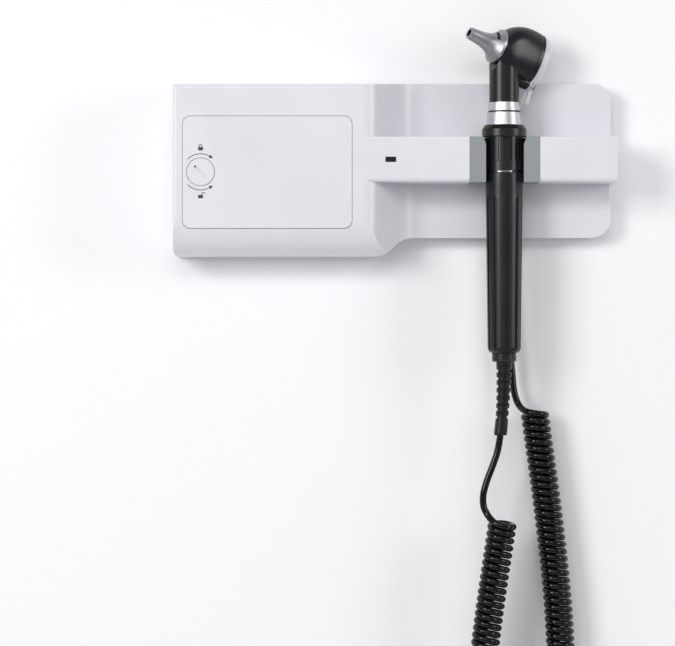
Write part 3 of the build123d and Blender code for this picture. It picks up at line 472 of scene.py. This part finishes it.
def ink_outline(name, outlines, body="door", y=DOOR_FACE - INK_LIFT):
    """Printed marks: thin closed plates from front-view outlines."""
    points = []
    faces = []
    for quad in outlines:
        first = len(points)
        for x, z in quad:
            points.append((x, y, z))
        for x, z in quad:
            points.append((x, y + INK_LIFT * 0.9, z))
        count = len(quad)
        faces.append(tuple(first + i for i in range(count)))
        faces.append(tuple(first + count + i for i in reversed(range(count))))
        for i in range(count):
            after = (i + 1) % count
            faces.append((first + after, first + i, first + count + i, first + count + after))
    piece = new_mesh(name, points, faces, ink, smooth=False)
    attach(piece, body)
    return piece


def arc_strip(centre, radius, width, start, end, steps):
    """Quads of a curved line in the front view, angles in degrees."""
    quads = []
    for step in range(steps):
        a = math.radians(start + (end - start) * step / steps)
        b = math.radians(start + (end - start) * (step + 1) / steps)
        quads.append(
            [
                (centre[0] + (radius + edge) * math.cos(angle), centre[1] + (radius + edge) * math.sin(angle))
                for angle, edge in ((a, -width / 2), (b, -width / 2), (b, width / 2), (a, width / 2))
            ]
        )
    return quads


def arrow_head(centre, radius, angle, size, forward):
    """A triangle at the end of an arc."""
    a = math.radians(angle)
    middle = (centre[0] + radius * math.cos(a), centre[1] + radius * math.sin(a))
    ahead = (-math.sin(a) * forward, math.cos(a) * forward)
    outward = (math.cos(a), math.sin(a))
    return [
        (middle[0] + ahead[0] * size, middle[1] + ahead[1] * size),
        (middle[0] + outward[0] * size * 0.5, middle[1] + outward[1] * size * 0.5),
        (middle[0] - outward[0] * size * 0.5, middle[1] - outward[1] * size * 0.5),
    ]


def padlock(centre, size, is_open):
    """A small padlock pictogram: a body and a shackle."""
    x, z = centre
    half = size * 0.5
    body_top = z + half * 0.35
    quads = [[(x - half, z - half), (x + half, z - half), (x + half, body_top), (x - half, body_top)]]
    shackle_x = x + (size * 0.55 if is_open else 0)
    quads += arc_strip((shackle_x, z + half * 0.7), half * 0.6, size * 0.16, 0, 180, 10)
    for side in (-1, 1):
        if is_open and side > 0:
            continue
        post = shackle_x + side * half * 0.6
        quads.append(
            [
                (post - size * 0.08, z + half * 0.35),
                (post + size * 0.08, z + half * 0.35),
                (post + size * 0.08, z + half * 0.72),
                (post - size * 0.08, z + half * 0.72),
            ]
        )
    return quads


knob_centre = (KNOB_X, KNOB_Z)
knob = nodes["lock_knob"]
knob_corners = [knob.matrix_world @ Vector(corner) for corner in knob.bound_box]
marks = arc_strip(knob_centre, ARROW_RADIUS, ARROW_WIDTH, ARROW_FROM, ARROW_TO, ARC_STEPS)
marks += arc_strip(knob_centre, ARROW_RADIUS, ARROW_WIDTH, 360 - ARROW_TO, 360 - ARROW_FROM, ARC_STEPS)
marks.append(arrow_head(knob_centre, ARROW_RADIUS, ARROW_HEAD_AT, ARROW_HEAD, -1))
marks.append(arrow_head(knob_centre, ARROW_RADIUS, 360 - ARROW_HEAD_AT, ARROW_HEAD, 1))
marks += padlock((KNOB_X, KNOB_Z + PADLOCK_RISE), PADLOCK_SIZE, False)
marks += padlock((KNOB_X, KNOB_Z - PADLOCK_RISE), PADLOCK_SIZE, True)
ink_outline("lock_marks", marks)

# ---------------------------------------------------------------- pointer dot on the knob
DOT_REACH, DOT_TURN, DOT_RADIUS, DOT_SIDES = 0.0053, math.radians(137), 0.00055, 20
dot_centre = (KNOB_X + DOT_REACH * math.cos(DOT_TURN), KNOB_Z + DOT_REACH * math.sin(DOT_TURN))
dot = [
    (
        dot_centre[0] + DOT_RADIUS * math.cos(2 * math.pi * side / DOT_SIDES),
        dot_centre[1] + DOT_RADIUS * math.sin(2 * math.pi * side / DOT_SIDES),
    )
    for side in range(DOT_SIDES)
]
ink_outline("pointer_dot", [dot], body="lock", y=min(corner[1] for corner in knob_corners) - INK_LIFT)

# ---------------------------------------------------------------- stage and lights
stage_material, stage_tree, stage_shader = new_material("stage_paint", Roughness=0.85)
mottle(stage_tree, stage_shader, texture(stage_tree, 3, 2), (0.9, 0.9, 0.905), 0.004)
wall_material = stage_material.copy()
wall_material.name = "stage_wall_paint"
wall_tree = wall_material.node_tree
geometry = wall_tree.nodes.new("ShaderNodeNewGeometry")
see_through = wall_tree.nodes.new("ShaderNodeBsdfTransparent")
one_sided = wall_tree.nodes.new("ShaderNodeMixShader")
wall_tree.links.new(geometry.outputs["Backfacing"], one_sided.inputs["Fac"])
wall_tree.links.new(wall_tree.nodes["Principled BSDF"].outputs["BSDF"], one_sided.inputs[1])
wall_tree.links.new(see_through.outputs["BSDF"], one_sided.inputs[2])
wall_tree.links.new(one_sided.outputs["Shader"], wall_tree.nodes["Material Output"].inputs["Surface"])

WALL_Y = 0.0006
FLOOR_Z = -1.5
wall = new_mesh(
    "backdrop_wall",
    [(-3, WALL_Y, FLOOR_Z), (3, WALL_Y, FLOOR_Z), (3, WALL_Y, 2), (-3, WALL_Y, 2)],
    [(0, 1, 2, 3)],
    wall_material,
    smooth=False,
)
floor = new_mesh(
    "backdrop_floor",
    [(-1.6, -1.2, FLOOR_Z), (1.6, -1.2, FLOOR_Z), (1.6, 1.6, FLOOR_Z), (-1.6, 1.6, FLOOR_Z)],
    [(0, 1, 2, 3)],
    stage_material,
    smooth=False,
)
# the wall stands just behind the unit, so it does not keep light off the unit's back
wall.visible_shadow = False


def soft_light(name, location, target, size, power):
    """A rectangular softbox aimed at a point."""
    data = bpy.data.lights.new(name, "AREA")
    data.shape = "RECTANGLE"
    data.size, data.size_y = size
    data.energy = power
    light = bpy.data.objects.new(name, data)
    light.location = location
    light.rotation_euler = (Vector(target) - Vector(location)).to_track_quat("-Z", "Y").to_euler()
    scene.collection.objects.link(light)


soft_light("key_left", (-1.45, -1.75, 0.55), (0.02, 0, -0.1), (0.8, 0.9), 26)
soft_light("key_right", (1.75, -0.95, 0.35), (0.05, 0, -0.1), (0.5, 0.9), 9)
soft_light("front", (-0.2, -2.6, 1.2), (0, 0, -0.1), (1.6, 0.6), 15)
soft_light("behind", (0.8, 1.8, 0.9), (0, 0, 0), (1.2, 1.2), 8)

world = bpy.data.worlds.new("studio")
world.use_nodes = True
world.node_tree.nodes["Background"].inputs["Color"].default_value = (0.95, 0.96, 1.0, 1)
world.node_tree.nodes["Background"].inputs["Strength"].default_value = 0.45
scene.world = world
scene.view_settings.view_transform = "Standard"
